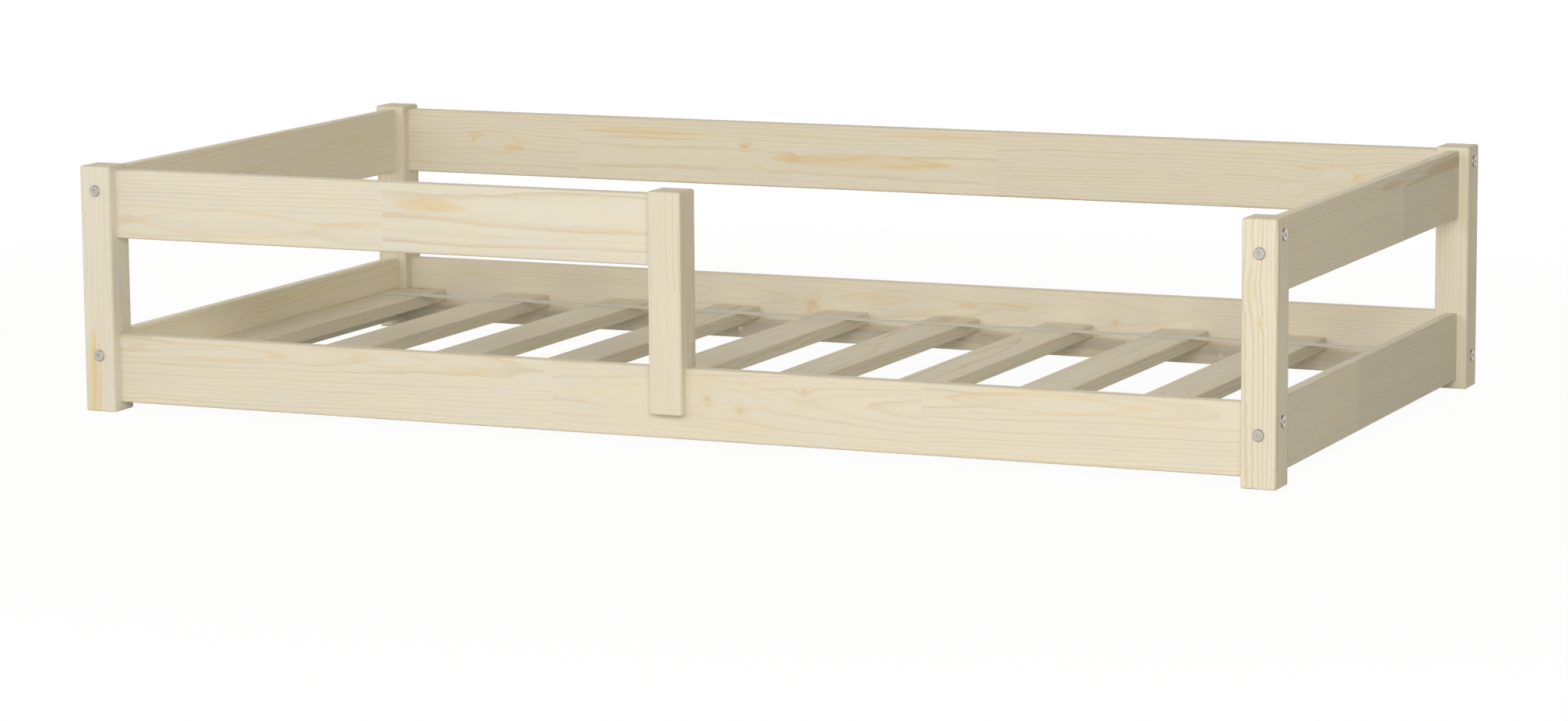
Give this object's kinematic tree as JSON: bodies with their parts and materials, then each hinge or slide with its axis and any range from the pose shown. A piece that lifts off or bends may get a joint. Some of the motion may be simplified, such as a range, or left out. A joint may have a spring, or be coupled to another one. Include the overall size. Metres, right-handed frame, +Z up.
{
  "type": "toddler floor bed",
  "caption": "Low pine floor bed for a toddler with rails on square posts, an open front half and a slatted base.",
  "frame": {"origin": "on the floor at the middle of the bed's footprint", "axes": "+X along the bed towards the end beside the open front half, +Y to the back, +Z up"},
  "size_m": [1.673, 0.879, 0.33],
  "materials": {
    "pine": "planed, unfinished pine",
    "beech_dowel": "fluted beech dowel",
    "webbing": "woven flat tape, light grey",
    "zinc_bolt": "zinc plated, satin",
    "zinc_insert": "zinc plated",
    "zinc_screw": "zinc plated",
    "zinc_wire": "bright wire"
  },
  "bodies": {
    "root": {"back_ledger_screws": "zinc_screw", "back_lower_rail": "pine", "back_slat_ledger": "pine", "back_upper_rail": "pine", "back_webbing_tape": "webbing", "blanking_bolt": "zinc_bolt", "end_slat_screws": "zinc_screw", "front_guard_rail": "pine", "front_ledger_screws": "zinc_screw", "front_left_connector_bolts": "zinc_bolt", "front_left_dowels": "beech_dowel", "front_left_insert_nuts": "zinc_insert", "front_left_post": "pine", "front_lower_rail": "pine", "front_right_connector_bolts": "zinc_bolt", "front_right_dowels": "beech_dowel", "front_right_insert_nuts": "zinc_insert", "front_right_post": "pine", "front_slat_ledger": "pine", "front_webbing_tape": "webbing", "guard_post": "pine", "guard_post_screws": "zinc_screw", "guard_rail_dowels": "beech_dowel", "left_lower_end_rail": "pine", "left_upper_end_rail": "pine", "rear_left_connector_bolts": "zinc_bolt", "rear_left_dowels": "beech_dowel", "rear_left_insert_nuts": "zinc_insert", "rear_left_post": "pine", "rear_right_connector_bolts": "zinc_bolt", "rear_right_dowels": "beech_dowel", "rear_right_insert_nuts": "zinc_insert", "rear_right_post": "pine", "right_lower_end_rail": "pine", "right_upper_end_rail": "pine", "slat_01": "pine", "slat_02": "pine", "slat_03": "pine", "slat_04": "pine", "slat_05": "pine", "slat_06": "pine", "slat_07": "pine", "slat_08": "pine", "slat_09": "pine", "slat_10": "pine", "tape_staples": "zinc_wire"}
  },
  "joints": []
}
